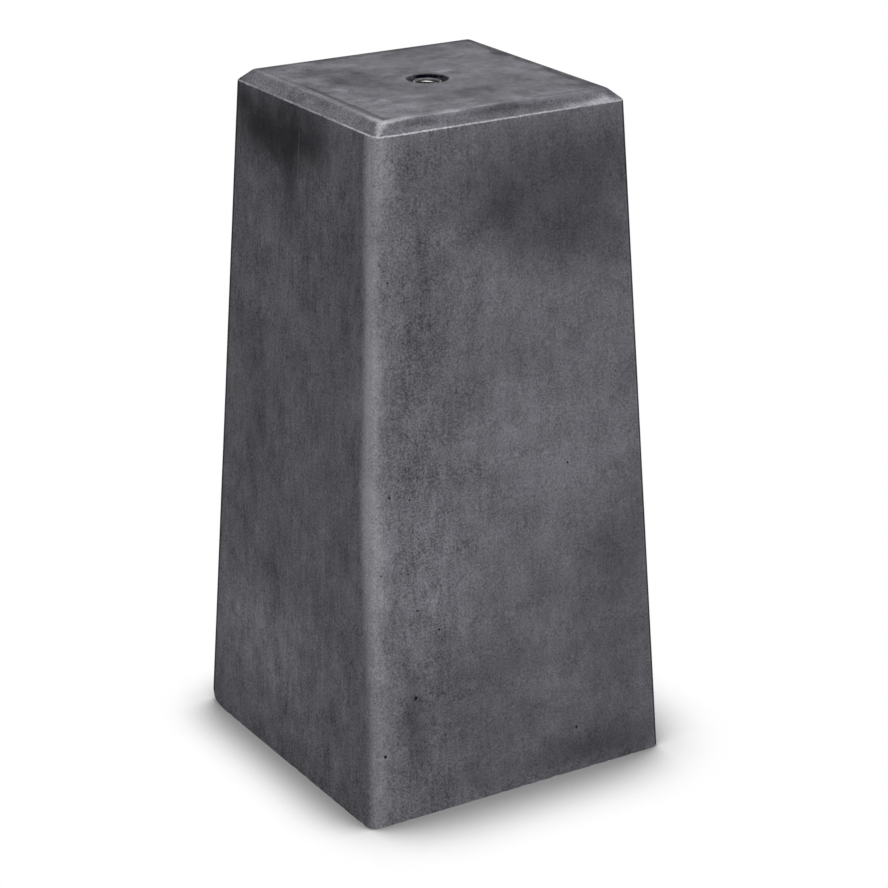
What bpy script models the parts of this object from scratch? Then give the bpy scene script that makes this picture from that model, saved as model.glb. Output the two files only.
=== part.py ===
# Concrete deck pier block: a tapered anthracite casting with a threaded steel socket in its top.
# Metres, +Z up. The origin is the middle of the foot, and the front face looks along -Y.

from math import cos, pi, radians, sin, tan

import bmesh
import bpy
from mathutils import Matrix, Vector

# Casting
BLOCK_HEIGHT = 0.500
FOOT_WIDTH = 0.250
SHOULDER_WIDTH = 0.200  # across the flats at the arris, where the top chamfer starts
CORNER_RADIUS = 0.007  # of the four upright corners
TOP_CORNER_RADIUS = 0.003  # of the top inside the chamfer
CHAMFER_WIDTH = 0.0095  # of the chamfer round the top, seen from above
CHAMFER_HEIGHT = 0.0080

# Recess left in the top by the plate that held the socket in the mould
RECESS_MOUTH_RADIUS = 0.0156
RECESS_FLOOR_RADIUS = 0.0130
RECESS_DEPTH = 0.0022
RECESS_FLARE = 0.0008  # soft edge of the recess's mouth

# Socket turned from solid bar, threaded M16 from its top
SOCKET_RADIUS = 0.0100
SOCKET_LENGTH = 0.080
SOCKET_END_CHAMFER = 0.0010
THREAD_DIAMETER = 0.016
THREAD_PITCH = 0.0020
THREAD_DEPTH = 0.040
MOUTH_RADIUS = 0.0096  # wide countersunk mouth that leads the rod in
DRILL_POINT_ANGLE = radians(118)

# Cross pin that keeps the socket from pulling out or turning
PIN_RADIUS = 0.0060
PIN_LENGTH = 0.110
PIN_END_CHAMFER = 0.0010
PIN_INSET = 0.015  # from the socket's lower end up to the pin's axis

FIT_CLEARANCE = 0.0003  # between the concrete, the socket and the pin
CUTTER_OVERRUN = 0.004  # how far a cutter stands out of the face that it opens

# Facets
CORNER_STEPS = 8
TURNED_STEPS = 48
PIN_STEPS = 32
SHARP_ANGLE = radians(35)
MERGE_DISTANCE = 0.00001

# Levels and radii that follow from the sizes above
SHOULDER_LEVEL = BLOCK_HEIGHT - CHAMFER_HEIGHT
TOP_WIDTH = SHOULDER_WIDTH - 2 * CHAMFER_WIDTH
SOCKET_TOP = BLOCK_HEIGHT - RECESS_DEPTH
SOCKET_FOOT = SOCKET_TOP - SOCKET_LENGTH
PIN_LEVEL = SOCKET_FOOT + PIN_INSET
THREAD_HEIGHT_RATIO = 0.5413  # height of a metric inside thread, as a share of its pitch
BORE_RADIUS = THREAD_DIAMETER / 2 - THREAD_HEIGHT_RATIO * THREAD_PITCH


def clear_scene():
    for item in list(bpy.data.objects):
        bpy.data.objects.remove(item, do_unlink=True)


def make_collection(name):
    collection = bpy.data.collections.new(name)
    bpy.context.scene.collection.children.link(collection)
    return collection


def make_material(name, colour, roughness, metallic):
    material = bpy.data.materials.new(name)
    material.use_nodes = True
    shader = material.node_tree.nodes["Principled BSDF"]
    shader.inputs["Base Color"].default_value = (*colour, 1.0)
    shader.inputs["Roughness"].default_value = roughness
    shader.inputs["Metallic"].default_value = metallic
    material.diffuse_color = (*colour, 1.0)
    return material


def add_object(name, mesh, collection, material=None):
    item = bpy.data.objects.new(name, mesh)
    collection.objects.link(item)
    if material is not None:
        mesh.materials.append(material)
    return item


def shade_round(mesh):
    mesh.shade_smooth()
    mesh.set_sharp_from_angle(angle=SHARP_ANGLE)


def turned_mesh(name, profile):
    # The profile is a list of (radius, height) points, with its outer side running downwards
    outline = bpy.data.meshes.new(name + "_profile")
    points = [Vector((radius, 0.0, height)) for radius, height in profile]
    edges = [(number, number + 1) for number in range(len(points) - 1)]
    outline.from_pydata(points, edges, [])
    lathe = bpy.data.objects.new(name + "_lathe", outline)
    bpy.context.scene.collection.objects.link(lathe)
    screw = lathe.modifiers.new("Screw", "SCREW")
    screw.axis = "Z"
    screw.angle = 2 * pi
    screw.steps = TURNED_STEPS
    screw.render_steps = TURNED_STEPS
    screw.use_merge_vertices = True
    screw.merge_threshold = MERGE_DISTANCE
    seen = lathe.evaluated_get(bpy.context.evaluated_depsgraph_get())
    mesh = bpy.data.meshes.new_from_object(seen)
    mesh.name = name
    bpy.data.objects.remove(lathe, do_unlink=True)
    shade_round(mesh)
    return mesh


def round_bar_mesh(name, radius, length, end_chamfer):
    # A bar along X, centred on its own origin, with its ends chamfered where a size is given
    form = bmesh.new()
    bmesh.ops.create_cone(
        form, cap_ends=True, segments=PIN_STEPS, radius1=radius, radius2=radius, depth=length
    )
    if end_chamfer > 0:
        rims = [edge for edge in form.edges if any(len(face.verts) > 4 for face in edge.link_faces)]
        bmesh.ops.bevel(form, geom=rims, offset=end_chamfer, segments=1, affect="EDGES")
    bmesh.ops.rotate(form, verts=form.verts, matrix=Matrix.Rotation(pi / 2, 3, "Y"))
    mesh = bpy.data.meshes.new(name)
    form.to_mesh(mesh)
    form.free()
    shade_round(mesh)
    return mesh


def cut(target, cutter):
    boolean = target.modifiers.new(cutter.name, "BOOLEAN")
    boolean.operation = "DIFFERENCE"
    boolean.solver = "EXACT"
    boolean.object = cutter


def add_cutter(name, mesh, cutters):
    cutter = add_object(name, mesh, cutters)
    cutter.display_type = "WIRE"
    cutter.hide_render = True
    return cutter


def rounded_square(width, radius):
    # Points round a square with round corners, anticlockwise from the +X side
    centre = width / 2 - radius
    corners = ((centre, centre), (-centre, centre), (-centre, -centre), (centre, -centre))
    points = []
    for quarter, (x, y) in enumerate(corners):
        for step in range(CORNER_STEPS + 1):
            turn = (quarter + step / CORNER_STEPS) * pi / 2
            points.append((x + radius * cos(turn), y + radius * sin(turn)))
    return points


def casting_mesh():
    # Lofted through three outlines: the foot, the arris and the top inside the chamfer
    outlines = (
        (FOOT_WIDTH, CORNER_RADIUS, 0.0),
        (SHOULDER_WIDTH, CORNER_RADIUS, SHOULDER_LEVEL),
        (TOP_WIDTH, TOP_CORNER_RADIUS, BLOCK_HEIGHT),
    )
    form = bmesh.new()
    rings = []
    for width, radius, level in outlines:
        rings.append([form.verts.new((x, y, level)) for x, y in rounded_square(width, radius)])
    for lower, upper in zip(rings, rings[1:]):
        for number in range(len(lower)):
            previous = number - 1
            form.faces.new((lower[previous], lower[number], upper[number], upper[previous]))
    form.faces.new(list(reversed(rings[0])))
    form.faces.new(rings[-1])
    mesh = bpy.data.meshes.new("pier_block")
    form.to_mesh(mesh)
    form.free()
    shade_round(mesh)
    return mesh


def socket_seat_mesh():
    # The recess and, below it, the seat that the concrete forms round the socket
    seat_radius = SOCKET_RADIUS + FIT_CLEARANCE
    seat_foot = SOCKET_FOOT - FIT_CLEARANCE
    profile = [
        (0.0, BLOCK_HEIGHT + CUTTER_OVERRUN),
        (RECESS_MOUTH_RADIUS + CUTTER_OVERRUN, BLOCK_HEIGHT + CUTTER_OVERRUN),
        (RECESS_MOUTH_RADIUS - RECESS_FLARE, BLOCK_HEIGHT - RECESS_FLARE),
        (RECESS_FLOOR_RADIUS, SOCKET_TOP),
        (seat_radius, SOCKET_TOP),
        (seat_radius, seat_foot),
        (0.0, seat_foot),
    ]
    return turned_mesh("socket_seat_cutter", profile)


def socket_mesh():
    # From the drill point up the bore, over the rim, and down the outside
    mouth_level = SOCKET_TOP - (MOUTH_RADIUS - BORE_RADIUS)
    bore_floor = SOCKET_TOP - THREAD_DEPTH
    drill_point = bore_floor - BORE_RADIUS / tan(DRILL_POINT_ANGLE / 2)
    profile = [
        (0.0, drill_point),
        (BORE_RADIUS, bore_floor),
        (BORE_RADIUS, mouth_level),
        (MOUTH_RADIUS, SOCKET_TOP),
        (SOCKET_RADIUS, SOCKET_TOP),
        (SOCKET_RADIUS, SOCKET_FOOT + SOCKET_END_CHAMFER),
        (SOCKET_RADIUS - SOCKET_END_CHAMFER, SOCKET_FOOT),
        (0.0, SOCKET_FOOT),
    ]
    return turned_mesh("threaded_socket", profile)


def main():
    clear_scene()
    parts = make_collection("deck_pier_block")
    cutters = make_collection("cutters")
    concrete = make_material("anthracite_concrete", (0.098, 0.096, 0.107), 0.82, 0.0)
    zinc = make_material("zinc_plated_steel", (0.50, 0.50, 0.51), 0.38, 1.0)
    bar_steel = make_material("plain_bar_steel", (0.33, 0.32, 0.31), 0.50, 1.0)

    seat_cutter = add_cutter("socket_seat_cutter", socket_seat_mesh(), cutters)
    channel = round_bar_mesh(
        "pin_channel_cutter", PIN_RADIUS + FIT_CLEARANCE, PIN_LENGTH + 2 * FIT_CLEARANCE, 0.0
    )
    channel_cutter = add_cutter("pin_channel_cutter", channel, cutters)
    channel_cutter.location.z = PIN_LEVEL

    block = add_object("pier_block", casting_mesh(), parts, concrete)
    cut(block, seat_cutter)
    cut(block, channel_cutter)

    socket = add_object("threaded_socket", socket_mesh(), parts, zinc)
    cut(socket, channel_cutter)

    pin = add_object(
        "anchor_pin", round_bar_mesh("anchor_pin", PIN_RADIUS, PIN_LENGTH, PIN_END_CHAMFER), parts, bar_steel
    )
    pin.location.z = PIN_LEVEL

    foot = bpy.data.objects.new("foot_centre", None)
    parts.objects.link(foot)
    for piece in (block, socket, pin):
        piece.parent = foot


main()
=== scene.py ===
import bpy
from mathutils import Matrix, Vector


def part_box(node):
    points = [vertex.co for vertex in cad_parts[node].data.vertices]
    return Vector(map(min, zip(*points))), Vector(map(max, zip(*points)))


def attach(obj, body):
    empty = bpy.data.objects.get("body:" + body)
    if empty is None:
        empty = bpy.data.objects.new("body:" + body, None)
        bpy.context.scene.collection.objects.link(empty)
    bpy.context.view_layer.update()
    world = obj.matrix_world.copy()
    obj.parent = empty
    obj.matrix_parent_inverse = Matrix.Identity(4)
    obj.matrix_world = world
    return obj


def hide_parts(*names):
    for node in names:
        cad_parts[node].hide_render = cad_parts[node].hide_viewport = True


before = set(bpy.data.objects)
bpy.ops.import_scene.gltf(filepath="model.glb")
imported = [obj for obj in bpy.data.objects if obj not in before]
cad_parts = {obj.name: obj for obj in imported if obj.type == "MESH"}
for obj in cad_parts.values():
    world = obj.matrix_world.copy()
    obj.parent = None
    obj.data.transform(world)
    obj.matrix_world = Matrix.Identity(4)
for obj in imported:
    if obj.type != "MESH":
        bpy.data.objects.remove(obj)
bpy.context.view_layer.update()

import math

import bmesh
import bpy
import numpy as np
from mathutils import Matrix, Vector, noise

# Concrete deck pier block: a smooth anthracite casting, worn pale along its edges with a painted highlight
# there, with a threaded steel socket in the recess of its top. Metres, +Z up, front face towards -Y.

blockLow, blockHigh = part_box("pier_block")
socketLow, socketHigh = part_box("threaded_socket")
pinLow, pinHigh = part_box("anchor_pin")
mm = 0.001


# small helpers for meshes

def addPiece(name, mesh, materials):
    piece = bpy.data.objects.new(name, mesh)
    bpy.context.scene.collection.objects.link(piece)
    for material in materials:
        mesh.materials.append(material)
    return piece


def plainMesh(piece, name):
    # the evaluated shape as a mesh of its own
    seen = piece.evaluated_get(bpy.context.evaluated_depsgraph_get())
    mesh = bpy.data.meshes.new_from_object(seen)
    mesh.name = name
    return mesh


def keepResult(piece):
    # swaps a piece's mesh for what its modifiers make of it
    made = plainMesh(piece, piece.name)
    piece.modifiers.clear()
    piece.data = made


def shadeRound(mesh, angle=35):
    mesh.shade_smooth()
    mesh.set_sharp_from_angle(angle=math.radians(angle))


def readVectors(items, attribute):
    values = np.zeros(len(items) * 3)
    items.foreach_get(attribute, values)
    return values.reshape(-1, 3)


def smoothStep(low, high, value):
    share = np.clip((value - low) / (high - low), 0, 1)
    return share * share * (3 - 2 * share)


def noiseField(points, size, seed, octaves=2):
    # soft noise of about -1 to 1 at each point, with blotches of the given size
    shift = Vector((seed * 7.31, seed * 3.17, seed * 5.93))
    values = np.zeros(len(points))
    for octave in range(octaves):
        grain = 2 ** octave / size
        layer = [noise.noise(Vector(point) * grain + shift) for point in points]
        values += np.array(layer) / 2 ** octave
    return values


# small helpers for node trees

def feed(tree, node, inputs):
    # gives each input a value, or links it to a socket
    for key, value in inputs.items():
        if isinstance(value, bpy.types.NodeSocket):
            tree.links.new(value, node.inputs[key])
        else:
            node.inputs[key].default_value = value


def put(tree, kind, inputs=None, **settings):
    made = tree.nodes.new(kind)
    for name, value in settings.items():
        setattr(made, name, value)
    feed(tree, made, inputs or {})
    return made


def calc(tree, operation, first, second=0.0, third=0.0, clamp=False):
    made = put(tree, "ShaderNodeMath", {0: first, 1: second, 2: third}, operation=operation)
    if clamp:
        made = put(tree, "ShaderNodeClamp", {0: made.outputs[0]})
    return made.outputs[0]


def addUp(tree, *values):
    total = values[0]
    for value in values[1:]:
        total = calc(tree, "ADD", total, value)
    return total


def multiply(tree, *values):
    total = values[0]
    for value in values[1:]:
        total = calc(tree, "MULTIPLY", total, value)
    return total


def vectorCalc(tree, operation, first, second=(0, 0, 0), third=(0, 0, 0)):
    # a length, a distance or a dot product comes out as a number
    made = put(tree, "ShaderNodeVectorMath", {0: first, 1: second, 2: third}, operation=operation)
    return made.outputs["Value" if operation in ("LENGTH", "DISTANCE", "DOT_PRODUCT") else "Vector"]


def scaled(tree, vector, share):
    return put(tree, "ShaderNodeVectorMath", {0: vector, "Scale": share}, operation="SCALE").outputs[0]


def ramp(tree, value, low, high, start=0.0, end=1.0):
    made = put(
        tree, "ShaderNodeMapRange", {0: value, 1: low, 2: high, 3: start, 4: end},
        interpolation_type="SMOOTHSTEP", clamp=False,  # smooth steps end flat without it
    )
    return made.outputs[0]


def cloud(tree, coords, size, detail=2.0, rough=0.5, twist=0.0, shift=(0, 0, 0), stretch=(1, 1, 1)):
    # noise centred on 0, with blotches of about the given size in metres
    placed = put(tree, "ShaderNodeMapping", {"Vector": coords, "Location": shift, "Scale": stretch})
    made = put(
        tree, "ShaderNodeTexNoise",
        {"Vector": placed.outputs[0], "Scale": 0.5 / size, "Detail": detail, "Roughness": rough,
         "Distortion": twist},
    )
    return calc(tree, "SUBTRACT", made.outputs[0], 0.5)


def blend(tree, share, first, second):
    return put(tree, "ShaderNodeMix", {0: share, 6: first, 7: second}, data_type="RGBA").outputs[2]


def grey(tree, level):
    return put(tree, "ShaderNodeCombineColor", {0: level, 1: level, 2: level}).outputs[0]


def newMaterial(name):
    # with its node tree, its shader and the places on the object
    material = bpy.data.materials.new(name)
    material.use_nodes = True
    tree = material.node_tree
    coords = put(tree, "ShaderNodeTexCoord").outputs["Object"]
    return material, tree, tree.nodes["Principled BSDF"], coords


# camera and light

cameraView = {
    "place": (-0.9706, -1.6076, 0.9451),
    "azimuth": -31.45,
    "elevation": 20.94,
    "roll": -0.19,
    "lens": 111.2,
    "sensor": 36.0,
}


def addCamera(view):
    turn, rise, roll = (math.radians(view[key]) for key in ("azimuth", "elevation", "roll"))
    back = Vector((math.sin(turn) * math.cos(rise), -math.cos(turn) * math.cos(rise), math.sin(rise)))
    right = Vector((math.cos(turn), math.sin(turn), 0))
    up = back.cross(right)
    tiltedRight = math.cos(roll) * right + math.sin(roll) * up
    tiltedUp = math.cos(roll) * up - math.sin(roll) * right
    lens = bpy.data.cameras.new("photoView")
    lens.lens = view["lens"]
    lens.sensor_width = view["sensor"]
    camera = bpy.data.objects.new("photoView", lens)
    bpy.context.scene.collection.objects.link(camera)
    axes = Matrix((tiltedRight, tiltedUp, back)).transposed().to_4x4()
    camera.matrix_world = Matrix.Translation(view["place"]) @ axes
    bpy.context.scene.camera = camera


studioLight = {
    "sky": 0.45,  # what the white room gives to matt surfaces
    "overhead": {"place": (0.10, 0.10, 2.3), "size": 1.5, "watts": 9.0},
    "key": {"place": (0.9, -2.3, 1.5), "size": 1.1, "watts": 36.0},
    "fill": {"place": (-2.4, -0.6, 1.0), "size": 1.3, "watts": 3.0},
}


def addLamp(name, lamp):
    light = bpy.data.lights.new(name, "AREA")
    light.shape = "DISK"
    light.size = lamp["size"]
    light.energy = lamp["watts"]
    item = bpy.data.objects.new(name, light)
    bpy.context.scene.collection.objects.link(item)
    item.location = lamp["place"]
    aim = Vector((0, 0, 0.28)) - item.location
    item.rotation_euler = aim.to_track_quat("-Z", "Y").to_euler()


def directRays(tree):
    # 1 for what the camera sees straight, mirrored or through glass
    rays = put(tree, "ShaderNodeLightPath").outputs
    seen = calc(tree, "MAXIMUM", rays["Is Camera Ray"], rays["Is Transmission Ray"])
    return calc(tree, "MAXIMUM", seen, rays["Is Glossy Ray"])


def addRoom(light):
    world = bpy.data.worlds.new("whiteRoom")
    bpy.context.scene.world = world
    world.use_nodes = True
    tree = world.node_tree
    strength = put(tree, "ShaderNodeMapRange", {0: directRays(tree), 3: light["sky"], 4: 1.0})
    feed(tree, tree.nodes["Background"], {"Color": (1, 1, 1, 1), "Strength": strength.outputs[0]})
    for name in ("overhead", "key", "fill"):
        addLamp(name, light[name])


floorSizes = {
    "width": 14.0,
    "shadowReach": (0.062, 0.090),  # of the soft contact shadow, on the left and on the right
    "shadowTone": 0.24,
}


def floorMaterial(sizes):
    # white to the camera, with a painted soft contact shadow close to the foot, from ambient occlusion
    material, tree, shader, coords = newMaterial("whiteFloor")
    feed(tree, shader, {"Base Color": (0.8, 0.8, 0.8, 1), "Roughness": 0.9})
    axis = put(tree, "ShaderNodeSeparateXYZ", {0: coords}).outputs
    across = calc(tree, "SUBTRACT", axis["X"], axis["Y"])
    reach = ramp(tree, across, -0.06, 0.06, *sizes["shadowReach"])
    near = put(tree, "ShaderNodeAmbientOcclusion", {"Distance": reach}, samples=32)
    tone = ramp(tree, near.outputs["AO"], 0.50, 0.97, sizes["shadowTone"], 1.0)
    glow = put(tree, "ShaderNodeEmission", {"Color": grey(tree, tone), "Strength": 1.0})
    both = put(tree, "ShaderNodeMixShader", {0: directRays(tree), 1: shader.outputs[0], 2: glow.outputs[0]})
    feed(tree, tree.nodes["Material Output"], {"Surface": both.outputs[0]})
    return material


def addFloor(sizes):
    form = bmesh.new()
    bmesh.ops.create_grid(form, x_segments=2, y_segments=2, size=sizes["width"] / 2)
    mesh = bpy.data.meshes.new("whiteFloor")
    form.to_mesh(mesh)
    form.free()
    floor = addPiece("whiteFloor", mesh, [floorMaterial(sizes)])


# concrete finish

concreteLook = {
    "tone": 0.106,  # plain cast face
    "darkest": 0.08,  # of the stains, as a share of it
    "tint": (1.0, 0.975, 1.07),
    "coolTint": (0.0, 0.0, 0.0035),  # leaves dark stains bluer than pale parts
    "chamferTone": 1.42,  # the chamfer and top lighter than the sides, partly dust and partly painted light from above
    "topTone": 1.54,
    "wornAndLitTone": (0.43, 0.424, 0.455),  # pale worn cement with a painted highlight on the worn edges
    "lineTone": (0.60, 0.593, 0.625),
    "poreShadeTone": (0.020, 0.019, 0.023),
    "grainTone": (0.40, 0.395, 0.41),
}

# How strongly each size of mottling shows
castNoise = {
    "clouds": 0.50, "patches": 0.60, "mottle": 0.45, "sand": 1.45, "wipes": 0.70, "drag": 0.90, "lines": 1.1,
}

# edge is painted shade down the left and right corners
castStainsAndShade = {"edge": -0.95, "insideBand": -0.50, "smear": -0.20}

# Dark and pale patches: middle and half size in millimetres, and tone
leftPatches = [
    ((-101, 58, 468), (30, 36, 22), -0.44),
    ((-101, 4, 470), (30, 32, 24), -0.44),
    ((-101, 30, 472), (30, 66, 26), -0.36),
    ((-103, 12, 438), (30, 18, 30), -0.48),
    ((-101, -20, 468), (30, 16, 16), -0.26),
    ((-103, -38, 450), (30, 16, 18), 0.12),
    ((-100, 92, 482), (30, 14, 10), -0.34),
    ((-101, 66, 466), (30, 20, 20), -0.20),
    ((-103, 88, 440), (30, 12, 40), -0.16),
    ((-105, -66, 396), (30, 20, 66), -0.16),
    ((-112, 57, 258), (30, 20, 52), -0.14),
    ((-107, -5, 351), (30, 8, 22), -0.16),
    ((-110, 0, 260), (30, 100, 60), -0.06),
    ((-115, -70, 194), (30, 14, 34), -0.20),
    ((-118, 23, 142), (30, 12, 54), -0.14),
    ((-121, -37, 86), (30, 14, 26), -0.16),
    ((-123, -67, 49), (30, 18, 22), -0.16),
    ((-123, 0, 30), (30, 26, 16), -0.14),
    ((-121, 16, 84), (30, 34, 30), 0.30),
    ((-120, 72, 84), (30, 40, 50), 0.28),
    ((-123, -30, 36), (30, 44, 26), 0.20),
    ((-121, 20, 90), (30, 90, 34), 0.22),
    ((-124, 0, 26), (30, 90, 26), 0.10),
    ((-112, 9, 249), (30, 7, 64), 0.13),
    ((-105, 70, 385), (30, 30, 40), 0.10),
]
frontPatches = [
    ((30, -103, 432), (66, 30, 38), -0.36),
    ((58, -104, 404), (48, 30, 22), -0.26),
    ((-6, -103, 432), (22, 30, 20), -0.30),
    ((-60, -102, 444), (20, 30, 14), -0.16),
    ((76, -106, 384), (20, 30, 14), -0.14),
    ((84, -102, 452), (44, 30, 30), -0.28),
    ((-22, -105, 388), (14, 30, 30), 0.14),
    ((20, -101, 464), (84, 30, 20), -0.16),
    ((-62, -101, 466), (24, 30, 20), -0.06),
    ((-68, -105, 398), (13, 30, 28), -0.15),
    ((3, -106, 373), (26, 30, 18), 0.08),
    ((27, -112, 253), (64, 30, 54), 0.20),
    ((-27, -112, 253), (20, 30, 20), 0.12),
    ((22, -113, 237), (20, 30, 32), 0.07),
    ((-80, -113, 250), (18, 30, 60), 0.16),
    ((-9, -115, 202), (18, 30, 18), 0.06),
    ((-60, -115, 186), (32, 30, 42), 0.31),
    ((84, -117, 163), (24, 30, 34), -0.33),
    ((110, -117, 160), (10, 30, 50), -0.16),
    ((108, -114, 212), (16, 30, 22), -0.12),
    ((90, -120, 94), (40, 30, 52), -0.18),
    ((34, -118, 140), (22, 30, 18), -0.12),
    ((-68, -117, 158), (9, 30, 9), 0.14),
    ((-84, -119, 121), (14, 30, 38), 0.06),
    ((-14, -121, 86), (36, 30, 32), -0.14),
    ((8, -121, 76), (34, 30, 12), 0.20),
    ((0, -121, 60), (120, 30, 44), -0.10),
    ((79, -124, 19), (42, 30, 22), -0.36),
    ((104, -124, 6), (26, 30, 14), -0.16),
    ((35, -124, 15), (34, 30, 14), -0.20),
    ((-34, -124, 18), (26, 30, 14), -0.12),
    ((-86, -121, 80), (9, 30, 32), -0.42),
    ((-111, -110, 230), (12, 12, 52), 0.32),
]
topPatches = [
    ((-52, 60, 500), (7, 15, 8), -0.24),
    ((-61, 33, 500), (6, 17, 8), -0.26),
    ((-47, 36, 500), (18, 20, 8), -0.24),
    ((-56, 13, 500), (10, 9, 8), -0.34),
    ((-40, 0, 500), (14, 14, 8), -0.40),
    ((-24, -20, 500), (16, 12, 8), -0.24),
    ((-18, -51, 500), (32, 13, 8), -0.36),
    ((10, -46, 500), (22, 16, 8), -0.20),
    ((12, -44, 500), (30, 5, 8), -0.16),
    ((-67, 6, 500), (7, 6, 8), 0.62),
    ((-65, -42, 500), (7, 5, 8), 0.62),
    ((-60, -62, 500), (12, 7, 8), 0.34),
    ((-38, -42, 500), (12, 5, 8), 0.22),
    ((-58, 69, 500), (18, 8, 8), 0.16),
    ((36, -79, 500), (30, 8, 8), 0.24),
    ((21, 15, 500), (8, 3.5, 8), 0.62),
    ((29, 70, 500), (44, 9, 8), -0.20),
    ((38, 44, 500), (50, 12, 8), 0.10),
    ((0, 88, 500), (120, 4.5, 8), -0.55),
    ((88.5, 0, 500), (4.5, 120, 8), -0.66),
    ((80, -76, 500), (10, 12, 8), -0.40),
    ((-96, 10, 496), (5, 110, 6), 0.30),
    ((-96, -70, 496), (5, 18, 6), -0.20),
    ((-10, -97, 495), (90, 6, 6), -0.40),
    ((-26, -72, 500), (32, 8, 8), 0.16),
    ((79, -100, 492), (24, 6, 5), 1.25),
]
otherPatches = [
    ((108, 30, 380), (30, 50, 60), -0.24),
    ((116, -40, 150), (30, 40, 70), 0.12),
    ((112, 60, 240), (30, 20, 60), -0.12),
    ((122, 10, 30), (30, 60, 20), -0.20),
    ((30, 106, 400), (60, 30, 50), -0.26),
    ((-50, 114, 220), (40, 30, 80), 0.12),
    ((60, 120, 60), (50, 30, 40), -0.18),
    ((-70, 104, 440), (24, 30, 30), -0.20),
]

# Thin pale marks: both ends and half width, in millimetres, and strength
thinMarks = [
    ((-100.9, 3, 474), (-102.6, 4, 440), 0.7, 0.36),
    ((-105.0, 5, 392), (-110.7, 4, 280), 0.7, 0.26),
    ((-114.2, 5, 210), (-120.6, 6, 84), 0.7, 0.16),
    ((-88.5, 78, 500), (-88, -12, 500), 0.45, 0.50),
    ((-86.5, 30, 500), (-88, -44, 500), 0.40, 0.40),
    ((-80, -87, 500), (-30, -88.5, 500), 1.8, 0.75),
    ((-58, -84, 500), (-8, -88, 500), 1.1, 0.50),
    ((-18, -87, 500), (30, -87.5, 500), 0.9, 0.40),
    ((-112, 40, 250), (-111, 62, 268), 0.45, 0.14),
    ((-18, -106, 380), (-5, -107, 362), 0.45, 0.26),
    ((10, -104, 396), (16, -105, 376), 0.40, 0.10),
    ((-58, -117, 164), (-63, -118, 132), 1.3, 0.10),
]


def unevenPlaces(tree, coords):
    # shifts places about, so that the patches get uneven outlines
    uneven = put(
        tree, "ShaderNodeTexNoise", {"Vector": coords, "Scale": 30.0, "Detail": 3.0, "Roughness": 0.65}
    )
    centred = vectorCalc(tree, "SUBTRACT", uneven.outputs[1], (0.5, 0.5, 0.5))
    return vectorCalc(tree, "MULTIPLY_ADD", centred, (0.032, 0.032, 0.032), coords)


def patchTone(tree, places, patches):
    total = 0.0
    for middle, halfSize, tone in patches:
        spot = put(tree, "ShaderNodeTexGradient", {"Vector": places}, gradient_type="SPHERICAL")
        reach = Vector(halfSize) * 1.7 * mm  # fades out there, half way down at about halfSize
        spot.texture_mapping.scale = [1 / part for part in reach]
        spot.texture_mapping.translation = [-at * mm / part for at, part in zip(middle, reach)]
        total = calc(tree, "MULTIPLY_ADD", ramp(tree, spot.outputs[1], 0.0, 0.95), tone, total)
    return total


def markTone(tree, coords, marks):
    total = 0.0
    for start, end, halfWidth, strength in marks:
        first = Vector(start) * mm
        run = Vector(end) * mm - first
        offset = vectorCalc(tree, "SUBTRACT", coords, first)
        along = vectorCalc(tree, "DOT_PRODUCT", offset, run / run.length_squared)
        share = calc(tree, "ADD", along, 0.0, clamp=True)
        gap = vectorCalc(tree, "DISTANCE", offset, scaled(tree, run, share))
        total = addUp(tree, total, ramp(tree, gap, halfWidth * 2 * mm, 0.0, 0.0, strength))
    return total


def specks(tree, coords, cell, radius, share, shift):
    # round marks: one in each cell of the given size, kept in a share of the cells
    placed = put(tree, "ShaderNodeMapping", {"Vector": coords, "Location": shift})
    cells = put(tree, "ShaderNodeTexVoronoi", {"Vector": placed.outputs[0], "Scale": 1 / cell})
    draw = put(tree, "ShaderNodeSeparateColor", {0: cells.outputs["Color"]})
    kept = calc(tree, "LESS_THAN", draw.outputs[0], share)
    width = calc(tree, "MULTIPLY_ADD", draw.outputs[1], 0.8, 0.4)
    edge = multiply(tree, width, radius / cell)
    near = calc(tree, "DIVIDE", cells.outputs["Distance"], edge)
    return multiply(tree, kept, ramp(tree, near, 1.1, 0.3))


def blockPlaces(tree, coords):
    # places and distances on the block that stains, wear and the painted light and shade follow
    x, y, z = put(tree, "ShaderNodeSeparateXYZ", {0: coords}).outputs
    shoulder, top = blockSizes["shoulderLevel"], blockSizes["topLevel"]
    side = calc(tree, "MULTIPLY_ADD", z, -sideSlope(blockSizes), blockSizes["footWidth"] / 2)
    wide, deep = calc(tree, "ABSOLUTE", x), calc(tree, "ABSOLUTE", y)
    outer, inner = calc(tree, "MAXIMUM", wide, deep), calc(tree, "MINIMUM", wide, deep)
    radius = vectorCalc(tree, "LENGTH", vectorCalc(tree, "MULTIPLY", coords, (1, 1, 0)))
    toFront = multiply(tree, addUp(tree, x, y), -1.0)
    topHalf = blockSizes["shoulderWidth"] / 2 - blockSizes["chamferWidth"]
    return {
        "x": x, "y": y, "z": z,
        "fromCorner": calc(tree, "SUBTRACT", side, inner),
        "fromHip": calc(tree, "SUBTRACT", outer, inner),
        "belowArris": calc(tree, "SUBTRACT", shoulder, z),
        "inner": inner,
        "insideTop": calc(tree, "SUBTRACT", topHalf, outer),
        "fromCentre": radius,
        "frontCorner": ramp(tree, toFront, 0.07, 0.19),  # 1 on the corner towards the camera
        "backCorner": ramp(tree, toFront, -0.07, -0.19),
        "inRecess": multiply(
            tree, ramp(tree, radius, 16.2 * mm, 15.2 * mm), ramp(tree, z, top - 0.25 * mm, top - 1.3 * mm)
        ),
        "toFront": toFront,
        "acrossCorner": calc(tree, "SUBTRACT", x, y),  # 0 on the front corner, less on the left face
        "onTop": ramp(tree, z, top - 2.2 * mm, top - 0.3 * mm),
        "onChamfer": ramp(tree, z, shoulder - 0.2 * mm, shoulder + 0.8 * mm),
    }


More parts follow.
